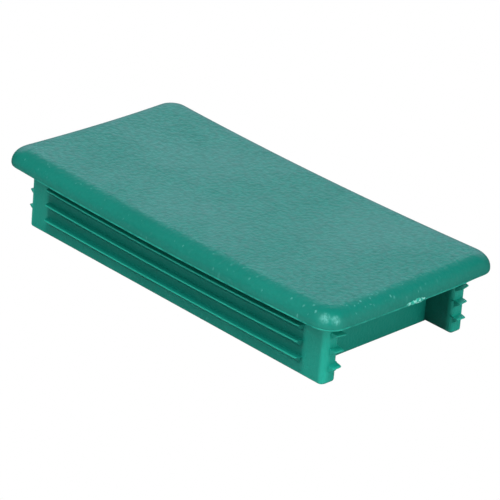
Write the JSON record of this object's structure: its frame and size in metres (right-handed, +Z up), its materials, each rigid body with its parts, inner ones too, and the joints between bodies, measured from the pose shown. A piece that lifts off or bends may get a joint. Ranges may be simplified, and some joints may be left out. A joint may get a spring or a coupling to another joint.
{
  "type": "profile end cap",
  "caption": "Rectangular moulded plastic cap that closes the cut end of a channel: a round-edged cover plate on a hollow barbed plug.",
  "frame": {"origin": "middle of the plane of the plug's open rim, on which the cap rests", "axes": "+X along the long side, +Y across, +Z up from the open rim to the cover plate"},
  "size_m": [0.084, 0.042, 0.0151],
  "materials": {
    "cap_plastic": "moulded teal green plastic: fine grained cover face, smooth satin rim and plug"
  },
  "bodies": {
    "root": {"end_cap": "cap_plastic"}
  },
  "joints": []
}
